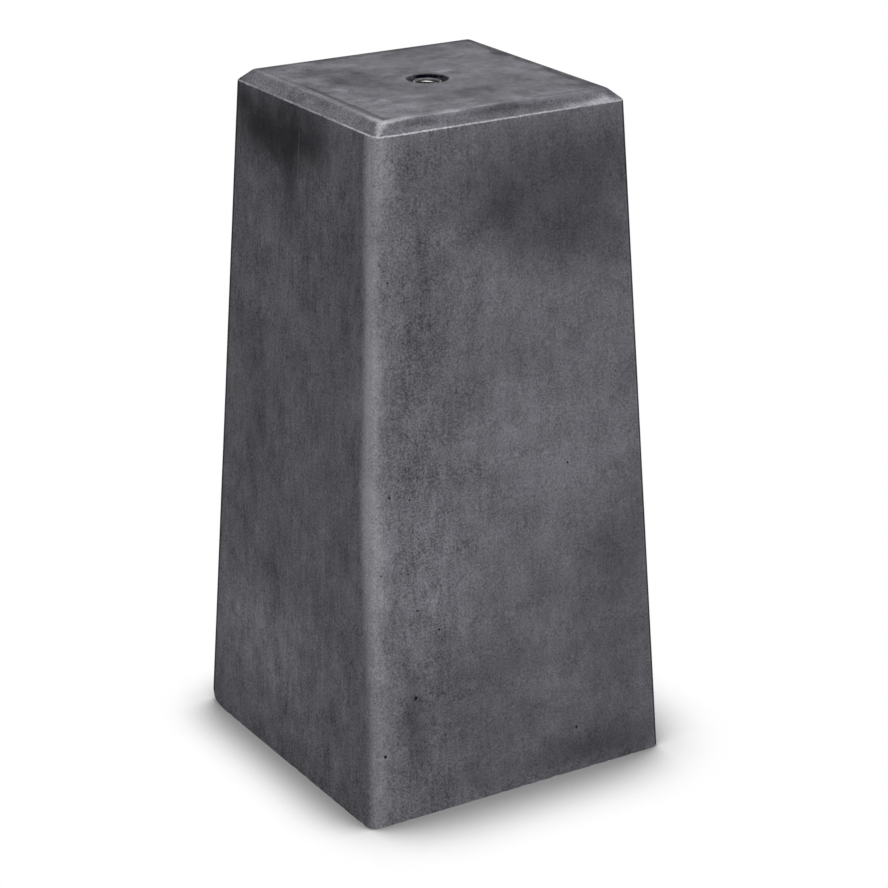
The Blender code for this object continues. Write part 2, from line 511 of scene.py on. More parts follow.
def castTone(tree, coords, place, layers, look):
    # the unworn casting: zones, patches and mottling, as a share of its plain tone
    leftSide = ramp(tree, place["x"], 0.0, -95 * mm)
    sides = calc(tree, "SUBTRACT", 1.0, place["onChamfer"])
    wiped = multiply(tree, sides, calc(tree, "MULTIPLY_ADD", leftSide, 0.42, 0.58))
    grainy = calc(tree, "MULTIPLY_ADD", leftSide, 0.44, 0.96)
    sandy = calc(tree, "MULTIPLY_ADD", place["onTop"], -0.5, grainy)
    busy = calc(tree, "MULTIPLY_ADD", place["onTop"], 1.3, grainy)
    # painted shade on the corners on the left and on the right, where they turn away from the light, as far
    # as they face the front
    darkCorner = calc(tree, "SUBTRACT", 1.0, addUp(tree, place["frontCorner"], place["backCorner"]))
    edgeStart = ramp(tree, place["acrossCorner"], 0.1, -0.1, 5.0 * mm, 8.6 * mm)
    edgeEnd = ramp(tree, place["acrossCorner"], 0.1, -0.1, 5.0 * mm, -0.3 * mm)
    paintedEdgeShade = ramp(tree, calc(tree, "SUBTRACT", edgeStart, place["fromCorner"]), 0.0, 1.8 * mm)
    turnsAway = ramp(tree, addUp(tree, place["toFront"], edgeEnd), -1.5 * mm, 1.5 * mm)
    paintedEdgeShade = multiply(tree, darkCorner, paintedEdgeShade, turnsAway)
    # a dark band inside the top's left edge
    insideBandGap = addUp(tree, place["insideTop"], -6.5 * mm, multiply(tree, layers["patches"], 5 * mm))
    insideBand = ramp(tree, calc(tree, "ABSOLUTE", insideBandGap), 3.4 * mm, 0.6 * mm)
    insideBand = multiply(
        tree, insideBand, ramp(tree, place["y"], 46 * mm, 16 * mm), ramp(tree, place["x"], -70 * mm, -78 * mm),
        place["onTop"],
    )
    # marks of the mould, in lines that follow the four edges of the top
    along = multiply(tree, place["inner"], 0.06)
    follows = put(tree, "ShaderNodeCombineXYZ", {0: place["insideTop"], 1: along})
    lines = cloud(tree, follows.outputs[0], 0.0022, detail=3, rough=0.6, shift=(0, 3, 0))
    nearEdge = multiply(tree, ramp(tree, place["insideTop"], 26 * mm, 2 * mm), place["onChamfer"])
    # a dark smear along the upper half of the front chamfer
    smear = multiply(
        tree, ramp(tree, place["belowArris"], -2.6 * mm, -5.6 * mm),
        ramp(tree, place["y"], -89.5 * mm, -91.5 * mm),
        ramp(tree, place["x"], -86 * mm, -70 * mm), ramp(tree, place["x"], 84 * mm, 46 * mm),
        calc(tree, "MULTIPLY_ADD", layers["patches"], 1.2, 1.0),
    )
    places = unevenPlaces(tree, coords)
    sidePatches = multiply(tree, patchTone(tree, places, leftPatches + frontPatches + otherPatches), sides)
    upperPatches = multiply(tree, patchTone(tree, places, topPatches), place["onChamfer"])
    shares = {"clouds": 1.0, "patches": busy, "mottle": busy, "sand": sandy, "wipes": wiped, "drag": wiped}
    shades = [multiply(tree, layers[name], share, castNoise[name]) for name, share in shares.items()]
    mottling = addUp(tree, 1.0, *shades, multiply(tree, lines, nearEdge, castNoise["lines"]))
    stainsAndShade = addUp(
        tree, 1.0, multiply(tree, paintedEdgeShade, castStainsAndShade["edge"]), multiply(tree, insideBand, castStainsAndShade["insideBand"]),
        multiply(tree, smear, castStainsAndShade["smear"]), sidePatches, upperPatches,
        markTone(tree, coords, thinMarks),
    )
    tone = multiply(tree, mottling, calc(tree, "MAXIMUM", stainsAndShade, 0.0))
    # partly painted light from above, partly dust: the chamfer and top are made lighter than the sides
    zone = addUp(
        tree, ramp(tree, place["onChamfer"], 0, 1, 1.0, look["chamferTone"]),
        ramp(tree, place["onTop"], 0, 1, 0.0, look["topTone"] - look["chamferTone"]),
    )
    level = calc(tree, "MAXIMUM", multiply(tree, tone, zone), look["darkest"])
    # dirt and painted shade on the recess's wall and floor, less of both on the left and on the right
    recessDarkness = ramp(tree, calc(tree, "ABSOLUTE", place["acrossCorner"]), 11 * mm, 20 * mm, 0.965, 0.66)
    dirt = calc(tree, "MULTIPLY_ADD", layers["mottle"], -0.9, recessDarkness, clamp=True)
    cleanAndLit = calc(tree, "SUBTRACT", 1.0, multiply(tree, place["inRecess"], dirt))
    return multiply(tree, level, cleanAndLit, look["tone"])


def wornAndLitShare(tree, place, layers):
    # pale wear on the front corner, the chamfer's hips and round the recess, with a painted highlight in the
    # band down the corner
    wearAndHighlight, nibble = layers["wearAndHighlight"], layers["nibble"]
    front, across = place["frontCorner"], place["acrossCorner"]

    def byHeight(low, high, start, end):  # heights in millimetres
        return ramp(tree, place["z"], low * mm, high * mm, start, end)

    # a soft band of pale wear and painted highlight down the corner that lies more to the left higher up
    middle = calc(tree, "MULTIPLY_ADD", wearAndHighlight, 8 * mm, byHeight(20, 260, 5 * mm, -5.5 * mm))
    off = calc(tree, "SUBTRACT", across, middle)
    onRight = ramp(tree, off, -3 * mm, 3 * mm)
    reach = addUp(
        tree, byHeight(20, 200, 7 * mm, 9.5 * mm), byHeight(250, 300, 0.0, -2.0 * mm),
        multiply(tree, wearAndHighlight, 7 * mm), multiply(tree, onRight, byHeight(420, 460, 0.0, 7.5 * mm)),
    )
    band = ramp(tree, calc(tree, "DIVIDE", calc(tree, "ABSOLUTE", off), reach), 1.8, 0.2)
    strength = multiply(
        tree, ramp(tree, across, -6 * mm, 9 * mm, 0.47, 0.25), byHeight(40, 250, 0.58, 1.30),
        byHeight(270, 350, 1.0, 0.92), calc(tree, "MULTIPLY_ADD", addUp(tree, wearAndHighlight, nibble), 0.8, 1.0),
    )
    tail = multiply(
        tree, onRight, ramp(tree, off, 36 * mm, 5 * mm), calc(tree, "MULTIPLY_ADD", wearAndHighlight, 0.2, 0.052)
    )
    corner = multiply(
        tree, addUp(tree, multiply(tree, band, strength), tail),
        calc(tree, "SUBTRACT", 1.0, place["onChamfer"]),
        calc(tree, "MULTIPLY_ADD", place["backCorner"], 0.6, front),
    )

    # a grainy flare on the front hip, wider towards the top
    hipWidth = ramp(tree, place["belowArris"], 0.0, -8 * mm, 2.4 * mm, 5.0 * mm)
    hipWidth = calc(tree, "MULTIPLY_ADD", nibble, 11 * mm, hipWidth)
    hip = ramp(tree, calc(tree, "DIVIDE", place["fromHip"], hipWidth), 1.6, 0.1)
    hip = multiply(tree, hip, place["onChamfer"], front, ramp(tree, place["insideTop"], 5 * mm, 0.5 * mm))

    # and a patchy ring round the recess
    ringGap = calc(tree, "ABSOLUTE", calc(tree, "SUBTRACT", place["fromCentre"], 16.6 * mm))
    ring = multiply(
        tree, ramp(tree, ringGap, 1.4 * mm, 0.2 * mm), place["onTop"],
        calc(tree, "MULTIPLY_ADD", wearAndHighlight, 0.6, 0.12),
    )
    wornAndLit = addUp(tree, corner, ring, multiply(tree, hip, 0.85))
    grain = calc(tree, "MULTIPLY_ADD", layers["sand"], ramp(tree, place["onChamfer"], 0, 1, 1.2, 2.4), 1.0)
    return calc(tree, "MULTIPLY", wornAndLit, grain, clamp=True)


def lineShare(tree, place, layers):
    # thin pale lines, wear with a painted highlight: the arris, and the edge of the top inside the chamfer
    wearAndHighlight, nibble = layers["wearAndHighlight"], layers["nibble"]
    front = place["frontCorner"]
    nearHip = multiply(tree, front, ramp(tree, place["fromHip"], 34 * mm, 5 * mm))
    arrisGap = calc(tree, "ABSOLUTE", addUp(tree, place["belowArris"], 0.15 * mm))
    arrisWidth = calc(tree, "MULTIPLY_ADD", nibble, 1.0 * mm, 0.46 * mm)
    arris = ramp(tree, calc(tree, "DIVIDE", arrisGap, arrisWidth), 1.5, 0.4)
    arrisShare = addUp(tree, multiply(tree, front, 0.30), 0.46, multiply(tree, wearAndHighlight, 1.2))
    rimGap = calc(tree, "ABSOLUTE", calc(tree, "SUBTRACT", place["insideTop"], 0.4 * mm))
    rimWidth = addUp(tree, multiply(tree, nibble, 3.6 * mm), multiply(tree, nearHip, 1.3 * mm), 0.65 * mm)
    rim = ramp(tree, calc(tree, "DIVIDE", rimGap, rimWidth), 1.5, 0.3)
    rimShare = addUp(
        tree, calc(tree, "MULTIPLY_ADD", wearAndHighlight, 0.8, 0.15, clamp=True), multiply(tree, nearHip, 0.40)
    )
    # the front edge has none in its middle, where the chamfer is dark
    bareFront = multiply(
        tree, ramp(tree, place["y"], -84 * mm, -88 * mm), ramp(tree, place["x"], -30 * mm, -6 * mm)
    )
    rimShare = multiply(tree, rimShare, calc(tree, "MULTIPLY_ADD", bareFront, -0.9, 1.0))
    lines = addUp(
        tree, multiply(tree, arris, arrisShare), multiply(tree, rim, place["onChamfer"], rimShare)
    )
    return calc(tree, "MULTIPLY", lines, calc(tree, "MULTIPLY_ADD", layers["sand"], 2.0, 1.0), clamp=True)


def concreteMaterial(look):
    material, tree, shader, coords = newMaterial("anthraciteConcrete")
    place = blockPlaces(tree, coords)
    # mottling, from hand-sized clouds down to the sand
    layers = {
        "clouds": cloud(tree, coords, 0.040, detail=3, rough=0.55, twist=0.4),
        "patches": cloud(tree, coords, 0.011, detail=3, rough=0.6, shift=(3, 1, 2)),
        "mottle": cloud(tree, coords, 0.0030, detail=3, rough=0.6, shift=(1, 5, 2)),
        "sand": cloud(tree, coords, 0.0007, detail=1, rough=0.6, shift=(2, 2, 7)),
        "wipes": cloud(tree, coords, 0.0015, detail=2, rough=0.6, stretch=(1, 1, 0.16), shift=(4, 0, 1)),
        "drag": cloud(tree, coords, 0.0065, detail=3, rough=0.6, stretch=(1, 1, 0.3), shift=(0, 4, 1)),
        "wearAndHighlight": cloud(tree, coords, 0.012, detail=3, rough=0.65, shift=(6, 3, 0)),
        "nibble": cloud(tree, coords, 0.0020, detail=3, rough=0.7, shift=(1, 8, 3)),
    }
    plain = castTone(tree, coords, place, layers, look)
    tinted = vectorCalc(tree, "MULTIPLY_ADD", grey(tree, plain), look["tint"], look["coolTint"])
    # pale wear with a painted highlight on the front corner
    colour = blend(tree, wornAndLitShare(tree, place, layers), tinted, (*look["wornAndLitTone"], 1))
    # pale lines with a painted highlight along the arris and the top's edge
    colour = blend(tree, lineShare(tree, place, layers), colour, (*look["lineTone"], 1))

    # pinprick pores, painted dark for the shade inside them, and pale grains
    dark = specks(tree, coords, 0.0085, 0.0009, 0.30, (0.31, 0.12, 0.05))
    light = specks(tree, coords, 0.0105, 0.0008, 0.30, (0.07, 0.33, 0.21))
    colour = blend(tree, multiply(tree, dark, 0.45), colour, (*look["poreShadeTone"], 1))
    colour = blend(tree, multiply(tree, light, 0.22), colour, (*look["grainTone"], 1))

    gloss = addUp(tree, 0.66, multiply(tree, layers["mottle"], 0.3), multiply(tree, layers["patches"], -0.3))
    shine = calc(tree, "MULTIPLY_ADD", place["inRecess"], -0.095, 0.10)
    height = addUp(
        tree, multiply(tree, layers["sand"], 0.8), multiply(tree, layers["mottle"], 0.8),
        multiply(tree, layers["wipes"], 0.4), multiply(tree, dark, -0.8),
    )
    bump = put(tree, "ShaderNodeBump", {"Height": height, "Strength": 0.3, "Distance": 0.35 * mm})
    feed(tree, shader, {
        "Base Color": colour, "Roughness": gloss, "Specular IOR Level": shine, "Normal": bump.outputs[0],
    })
    return material


def voidMaterial():
    # the inside of air holes, painted dark for their shade, with trapped dust
    material, tree, shader, coords = newMaterial("airHoleConcrete")
    dust = cloud(tree, coords, 0.0006, detail=2)
    level = calc(tree, "MULTIPLY_ADD", dust, 0.03, 0.022)
    feed(tree, shader, {"Base Color": grey(tree, level), "Roughness": 0.9, "Specular IOR Level": 0.1})
    return material


# the casting

blockSizes = {
    "footWidth": blockHigh.x - blockLow.x,
    "shoulderWidth": 0.200,
    "shoulderLevel": blockHigh.z - 0.008,
    "topLevel": blockHigh.z,
    "chamferWidth": 0.0095,
    "chamferHeight": 0.008,
    "cornerRadius": 0.007,
    "topCornerRadius": 0.003,
    "footEdge": 0.0008,
    "recessMouth": 0.0156,
    "recessFloor": 0.0130,
    "recessDepth": blockHigh.z - socketHigh.z,
    "seatGap": 0.0003,
    "sideSteps": 78,
    "cornerSteps": 10,
    "levelSteps": 138,
    "topSteps": 28,
}

castSurface = {
    "swell": 0.20 * mm,  # slow waves of the mould
    "swellSize": 90 * mm,
    "ripple": 0.05 * mm,
    "rippleSize": 11 * mm,
    "chip": 1.0 * mm,
    "chipSize": 7 * mm,
    "footChip": 1.4 * mm,
    "rubbedCorner": 12 * mm,  # upright radius of the foot corner on the left, at the ground
    "rubbedRise": 12 * mm,  # how far up it goes on
    "rubbedLift": 7.2 * mm,  # and the radius of its lower edge
    "otherLift": 2.5 * mm,
    "liftRun": 32 * mm,  # how far both go on along the edges
}


def sideSlope(sizes):
    return (sizes["footWidth"] - sizes["shoulderWidth"]) / 2 / sizes["shoulderLevel"]


def ringOutline(halfWidth, radius, sizes):
    # one level of the block, anticlockwise from the lower end of the +X side
    flat = halfWidth - radius
    along = np.linspace(-flat, flat, sizes["sideSteps"], endpoint=False)
    side = np.column_stack([np.full_like(along, halfWidth), along])
    turn = np.linspace(0, math.pi / 2, sizes["cornerSteps"], endpoint=False)
    corner = np.column_stack([flat + radius * np.cos(turn), flat + radius * np.sin(turn)])
    quarter = np.vstack([side, corner])
    quarters = []
    for step in range(4):
        c, s = math.cos(step * math.pi / 2), math.sin(step * math.pi / 2)
        quarters.append(quarter @ np.array([[c, s], [-s, c]]))
    return np.vstack(quarters)


def blockRings(sizes):
    # closed outlines from the middle of the foot, up the sides and down into the socket's seat
    foot, shoulder = sizes["footWidth"] / 2, sizes["shoulderWidth"] / 2
    edge, radius = sizes["footEdge"], sizes["cornerRadius"]
    rings = []

    def addRing(outline, level):
        rings.append(np.column_stack([outline, np.full(len(outline), level)]))

    # millimetres in from the foot's edge
    for inset in (119, 95, 70, 45, 30, 20, 14, 10, 7, 5, 3.5, 2.2, 1.4):
        share = 1 - inset * mm / foot
        addRing(ringOutline(foot * share, radius * share, sizes), 0.0)
    for degrees in (0, 22.5, 45, 67.5):
        turn = math.radians(degrees)
        outline = ringOutline(foot - edge * (1 - math.sin(turn)), radius, sizes)
        addRing(outline, edge * (1 - math.cos(turn)))
    steps = (1.4, 2, 2.7, 3.5, 4.4, 5.4, 6.5, 7.7, 9, 10.4, 12, 13.8, 15.8)  # millimetres
    highLevels = np.linspace(18.5 * mm, sizes["shoulderLevel"] - 0.9 * mm, sizes["levelSteps"])
    for level in [edge, *(step * mm for step in steps), *highLevels]:
        share = level / sizes["shoulderLevel"]
        addRing(ringOutline(foot + (shoulder - foot) * share, radius, sizes), level)
    inner = shoulder - sizes["chamferWidth"]
    arrisSoft = [(0.02, -0.30), (0.13, -0.02), (0.42, 0.27)]  # millimetres in from and above the arris
    for inset, rise in arrisSoft:
        addRing(ringOutline(shoulder - inset * mm, radius, sizes), sizes["shoulderLevel"] + rise * mm)
    for share in (0.12, 0.24, 0.38, 0.52, 0.66, 0.80, 0.90):
        width = shoulder + (inner - shoulder) * share
        corner = radius + (sizes["topCornerRadius"] - radius) * share
        addRing(ringOutline(width, corner, sizes), sizes["shoulderLevel"] + sizes["chamferHeight"] * share)
    topEdge = [(0.35, 0.42), (-0.35, 0.14), (-1.2, 0.02)]  # millimetres out from and below the top edge
    for out, drop in topEdge:
        corner = sizes["topCornerRadius"] + min(out, 0) * mm
        addRing(ringOutline(inner + out * mm, corner, sizes), sizes["topLevel"] - drop * mm)
    square = ringOutline(inner - 2.2 * mm, 1.5 * mm, sizes)
    bearing = square / np.linalg.norm(square, axis=1)[:, None]
    mouth = sizes["recessMouth"] + 1.2 * mm
    for share in np.linspace(0, 1, sizes["topSteps"]):
        addRing(square * (1 - share) + bearing * mouth * share, sizes["topLevel"])
    depth, floor = sizes["recessDepth"], sizes["recessFloor"]
    rim = sizes["recessMouth"]
    wall = [  # radius, and depth below the top
        (rim + 0.5 * mm, 0.05 * mm), (rim, 0.22 * mm), (rim - 0.35 * mm, 0.5 * mm),
        (rim - 0.8 * mm, 0.9 * mm), (rim - 1.5 * mm, 1.4 * mm), (floor + 0.35 * mm, depth - 0.35 * mm),
        (floor - 0.1 * mm, depth - 0.08 * mm), (floor - 0.5 * mm, depth), (floor - 1.5 * mm, depth),
    ]
    seat = socketHigh.x + sizes["seatGap"]
    wall += [(seat, depth), (seat, sizes["topLevel"] - socketLow.z + sizes["seatGap"])]
    for ringRadius, down in wall:
        addRing(bearing * ringRadius, sizes["topLevel"] - down)
    return rings


def castMesh(sizes):
    rings = blockRings(sizes)
    count = len(rings[0])
    points = np.vstack(rings)
    faces = []
    for level in range(len(rings) - 1):
        low, high = level * count, (level + 1) * count
        for step in range(count):
            following = (step + 1) % count
            faces.append((low + step, low + following, high + following, high + step))
    faces.append(tuple(range(count - 1, -1, -1)))
    last = (len(rings) - 1) * count
    faces.append(tuple(range(last, last + count)))
    mesh = bpy.data.meshes.new("castBlock")
    mesh.from_pydata(points.tolist(), [], faces)
    mesh.update()
    return mesh


def softenFoot(points, sizes, surface):
    # rounds the foot's corners off, the left one most, fading out along the edges
    rise = points[:, 2].copy()
    inside = (sizes["footWidth"] / 2 - rise * sideSlope(sizes))[:, None] - np.abs(points[:, :2])
    leftCorner = (points[:, 0] < 0) & (points[:, 1] > 0)
    extra = np.where(leftCorner, surface["rubbedCorner"] - sizes["cornerRadius"], 0)
    radius = sizes["cornerRadius"] + extra * (1 - smoothStep(0, surface["rubbedRise"], rise))
    short = np.maximum(radius[:, None] - inside, 0)
    reach = np.linalg.norm(short, axis=1)
    inward = short / np.maximum(reach, 1e-9)[:, None]
    cut = np.maximum(reach - radius, 0)
    depth = np.maximum(radius - reach, 0)
    lift = np.where(leftCorner, surface["rubbedLift"], surface["otherLift"])
    lift = lift * (1 - np.clip(inside.max(1) / surface["liftRun"], 0, 1)) ** 1.5 + 0.01 * mm
    gapIn, gapUp = np.maximum(lift - depth, 0), np.maximum(lift - rise, 0)
    share = 1 - np.minimum(lift / np.maximum(np.hypot(gapIn, gapUp), 1e-9), 1)
    points[:, :2] -= np.sign(points[:, :2]) * inward * (cut + gapIn * share)[:, None]
    points[:, 2] += gapUp * share


def weatherCast(mesh, sizes, surface):
    # waves, ripples and chipped edges, all of them inwards, so that the block keeps its size
    points = readVectors(mesh.vertices, "co")
    normals = readVectors(mesh.vertex_normals, "vector")
    swell = noiseField(points, surface["swellSize"], 1) * 0.5 + 0.5
    ripple = noiseField(points, surface["rippleSize"], 2) * 0.5 + 0.5
    bite = noiseField(points, surface["chipSize"], 3, octaves=3)
    depth = surface["swell"] * swell + surface["ripple"] * ripple
    fromArris = np.abs(points[:, 2] - sizes["shoulderLevel"])
    nearArris = np.exp(-((fromArris / (1.2 * mm)) ** 2)) * (points[:, 2] < sizes["topLevel"] - 2 * mm)
    depth += surface["chip"] * nearArris * np.clip(bite - 0.12, 0, 1)
    nearFoot = np.exp(-((points[:, 2] / (2.2 * mm)) ** 2)) * (np.abs(points[:, :2]).max(1) > 0.115)
    depth += surface["footChip"] * nearFoot * np.clip(bite - 0.2, 0, 1)
    spread = np.linalg.norm(points[:, :2], axis=1)
    inSocketSeat = (spread < sizes["recessFloor"]) & (points[:, 2] > 0.3)
    depth[inSocketSeat] = 0
    points -= normals * depth[:, None]
    softenFoot(points, sizes, surface)
    points[:, 2] = np.clip(points[:, 2], 0, sizes["topLevel"])
    mesh.vertices.foreach_set("co", points.ravel())
    mesh.update()


def roundBar(name, radius, length, level, steps=32):
    form = bmesh.new()
    bmesh.ops.create_cone(form, cap_ends=True, segments=steps, radius1=radius, radius2=radius, depth=length)
    bmesh.ops.rotate(form, verts=form.verts, matrix=Matrix.Rotation(math.pi / 2, 3, "Y"))
    bmesh.ops.translate(form, verts=form.verts, vec=(0, 0, level))
    mesh = bpy.data.meshes.new(name)
    form.to_mesh(mesh)
    form.free()
    return mesh


# Air holes of the two faces towards the camera: millimetres along the face, height, radius
frontHoles = [
    (-100, 244, 0.95), (-85, 92, 1.55), (-111, 54, 1.35), (-64, 139, 0.95), (50, 35, 1.1), (-95, 394, 0.8),
    (-84, 239, 0.8), (46, 240, 0.9), (-109, 189, 0.75), (-73, 93, 0.8), (-81, 157, 0.9), (12, 318, 0.7),
]
leftHoles = [(91, 133, 0.8), (-40, 300, 0.6), (60, 330, 0.6), (20, 210, 0.6), (-70, 120, 0.8)]


def placedHoles(sizes):
    # one loose point for each chosen hole, on the tapered face, with its radius as an attribute
    places, radii = [], []
    for holes, onLeft in ((frontHoles, False), (leftHoles, True)):
        for along, level, radius in holes:
            out = -(sizes["footWidth"] / 2 - sideSlope(sizes) * level * mm)
            places.append((out, along * mm, level * mm) if onLeft else (along * mm, out, level * mm))
            radii.append(radius * mm)
    mesh = bpy.data.meshes.new("chosenHoles")
    mesh.from_pydata(places, [], [])
    stored = mesh.attributes.new("holeRadius", "FLOAT", "POINT")
    stored.data.foreach_set("value", radii)
    return addPiece("chosenHoles", mesh, [])


airHoles = {"Density": 420.0, "Spacing": 9.0 * mm, "Smallest": 0.25 * mm, "Largest": 0.60 * mm, "Seed": 11}


def newTree(name, inputs):
    # a Geometry Nodes tree with the given inputs
    tree = bpy.data.node_groups.new(name, "GeometryNodeTree")
    for way in ("INPUT", "OUTPUT"):
        tree.interface.new_socket("Geometry", in_out=way, socket_type="NodeSocketGeometry")
    for label, kind in inputs.items():
        tree.interface.new_socket(label, in_out="INPUT", socket_type="NodeSocket" + kind)
    return tree


def airHoleTree():
    # round holes scattered over the casting, with the chosen ones, cut out of it
    tree = newTree("airHoles", {
        "Density": "Float", "Spacing": "Float", "Smallest": "Float", "Largest": "Float", "Seed": "Int",
        "Chosen": "Object", "Pin Channel": "Object", "Hole Finish": "Material",
    })
    given = put(tree, "NodeGroupInput").outputs
    scattered = put(
        tree, "GeometryNodeDistributePointsOnFaces",
        {"Mesh": given["Geometry"], "Distance Min": given["Spacing"], "Density Max": given["Density"],
         "Seed": given["Seed"]},
        distribute_method="POISSON",
    )
    radius = put(  # its second and third sockets are the ends of a range of floats
        tree, "FunctionNodeRandomValue",
        {2: given["Smallest"], 3: given["Largest"], "Seed": given["Seed"]}, data_type="FLOAT",
    )
    ball = put(tree, "GeometryNodeMeshIcoSphere", {"Radius": 1.0, "Subdivisions": 2})
    shaded = put(
        tree, "GeometryNodeSetMaterial", {"Geometry": ball.outputs["Mesh"], "Material": given["Hole Finish"]}
    )
    sunk = scaled(tree, scaled(tree, scattered.outputs["Normal"], radius.outputs[1]), -0.45)
    placed = put(tree, "GeometryNodeSetPosition", {"Geometry": scattered.outputs["Points"], "Offset": sunk})
    balls = put(
        tree, "GeometryNodeInstanceOnPoints",
        {"Points": placed.outputs[0], "Instance": shaded.outputs[0], "Scale": radius.outputs[1]},
    )
    chosen = put(tree, "GeometryNodeObjectInfo", {"Object": given["Chosen"]})
    stored = put(tree, "GeometryNodeInputNamedAttribute", {"Name": "holeRadius"}, data_type="FLOAT")
    chosenBalls = put(
        tree, "GeometryNodeInstanceOnPoints",
        {"Points": chosen.outputs["Geometry"], "Instance": shaded.outputs[0], "Scale": stored.outputs[0]},
    )
    channel = put(tree, "GeometryNodeObjectInfo", {"Object": given["Pin Channel"]})
    everyHole = put(tree, "GeometryNodeJoinGeometry")
    for source in (balls.outputs[0], chosenBalls.outputs[0], channel.outputs["Geometry"]):
        tree.links.new(source, everyHole.inputs[0])
    real = put(tree, "GeometryNodeRealizeInstances", {"Geometry": everyHole.outputs[0]})
    cutOut = put(
        tree, "GeometryNodeMeshBoolean", {"Mesh 1": given["Geometry"], "Mesh 2": real.outputs[0]},
        operation="DIFFERENCE", solver="MANIFOLD",
    )
    put(tree, "NodeGroupOutput", {0: cutOut.outputs[0]})
    return tree


def addGeometryNodes(piece, tree, values):
    # each named input is set through its socket's identifier
    modifier = piece.modifiers.new(tree.name, "NODES")
    modifier.node_group = tree
    for item in tree.interface.items_tree:
        if item.item_type == "SOCKET" and item.in_out == "INPUT" and item.name in values:
            modifier[item.identifier] = values[item.name]


def addBlock(concrete, hollow):
    mesh = castMesh(blockSizes)
    weatherCast(mesh, blockSizes, castSurface)
    block = addPiece("castBlock", mesh, [concrete, hollow])
    print("casting:", len(mesh.polygons), "faces")
    pinRadius = (pinHigh.z - pinLow.z) / 2 + blockSizes["seatGap"]
    pinLength = pinHigh.x - pinLow.x + 2 * blockSizes["seatGap"]
    pinShape = roundBar("pinChannel", pinRadius, pinLength, (pinHigh.z + pinLow.z) / 2)
    channel = addPiece("pinChannel", pinShape, [hollow])
    chosen = placedHoles(blockSizes)
    addGeometryNodes(
        block, airHoleTree(), {**airHoles, "Chosen": chosen, "Pin Channel": channel, "Hole Finish": hollow}
    )
    keepResult(block)
    for helper in (channel, chosen):
        bpy.data.objects.remove(helper, do_unlink=True)
    shadeRound(block.data, 32)
    print("casting with air holes:", len(block.data.polygons), "faces")
    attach(block, "root")
    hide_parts("pier_block")


# the socket

socketSizes = {
    "radius": socketHigh.x,
    "top": socketHigh.z,
    "foot": socketLow.z,
    "rootRadius": 8.0 * mm,
    "crestRadius": 6.9 * mm,
    "mouthRadius": 9.55 * mm,
    "edge": 0.15 * mm,
    "depth": 40 * mm,
    "drillPoint": 59,  # degrees between its side and the axis
    "threadStart": 2.17 * mm,  # below the top
    "steps": 96,
}

socketThread = {
    "Pitch": 2.0 * mm,
    "Turns": 17.28,
    "Radius": 7.5 * mm,
    "Ridge Foot": 1.45 * mm,
    "Ridge Crest": 0.30 * mm,
    "Ridge Height": 1.12 * mm,
    "Steps": 48,
}
ridgeTurn = 90  # degrees that lay the ridge's crest towards the bore's axis

# The painted highlight spots are places and radii
steelLooks = {
    "zincSteel": {
        "colour": (0.125, 0.122, 0.13), "rough": 0.42, "dirt": 0.85, "boreShadeBelow": socketHigh.z - 0.8 * mm,
        "wearAndHighlight": [
            ((-7.9 * mm, 4.6 * mm, socketHigh.z), 2.2 * mm), ((7.9 * mm, -4.4 * mm, socketHigh.z), 1.8 * mm),
        ],
    },
    "threadSteel": {
        "colour": (0.10, 0.10, 0.105), "rough": 0.30, "dirt": 0.5,
        "wearAndHighlight": [((3.6 * mm, 6.2 * mm, socketHigh.z - 2.3 * mm), 5.0 * mm)],
    },
    "barSteel": {"colour": (0.33, 0.32, 0.31), "rough": 0.45, "dirt": 0.3},
}
steelTones = {"dirt": (0.06, 0.058, 0.056), "boreShade": (0.012, 0.012, 0.012), "wearAndHighlight": (0.42, 0.42, 0.43)}


def steelMaterial(name):
    look = steelLooks[name]
    material, tree, shader, coords = newMaterial(name)
    spread = cloud(tree, coords, 0.0016, detail=3, rough=0.6)
    scratch = cloud(tree, coords, 0.0004, detail=2, stretch=(1, 1, 6), shift=(2, 0, 0))
    filmAndShade = ramp(tree, spread, -0.02, 0.14, 0.0, look["dirt"])
    tinted = blend(tree, filmAndShade, (*look["colour"], 1), (*steelTones["dirt"], 1))
    # painted shade: near black and not metallic below the upper part of the mouth, down into the bore
    if "boreShadeBelow" in look:
        height = put(tree, "ShaderNodeSeparateXYZ", {0: coords}).outputs["Z"]
        inBoreShade = ramp(tree, height, look["boreShadeBelow"], look["boreShadeBelow"] - 0.3 * mm)
        filmAndShade = calc(tree, "MAXIMUM", filmAndShade, inBoreShade)
        tinted = blend(tree, inBoreShade, tinted, (*steelTones["boreShade"], 1))
    # painted highlights: pale spots, with the dirt film taken off there
    for spot, size in look.get("wearAndHighlight", []):
        cleanAndLit = ramp(tree, vectorCalc(tree, "DISTANCE", coords, spot), size, size * 0.3)
        tinted = blend(tree, cleanAndLit, tinted, (*steelTones["wearAndHighlight"], 1))
        filmAndShade = multiply(tree, filmAndShade, calc(tree, "SUBTRACT", 1.0, cleanAndLit))
    metallic = multiply(tree, calc(tree, "SUBTRACT", 1.0, filmAndShade), 0.95)
    rough = calc(tree, "MULTIPLY_ADD", filmAndShade, 0.4, look["rough"])
    rough = addUp(tree, multiply(tree, scratch, 0.25), rough)
    bump = put(tree, "ShaderNodeBump", {"Height": scratch, "Strength": 0.25, "Distance": 0.05 * mm})
    feed(tree, shader, {
        "Base Color": tinted, "Metallic": metallic, "Roughness": rough, "Normal": bump.outputs[0],
    })
    return material


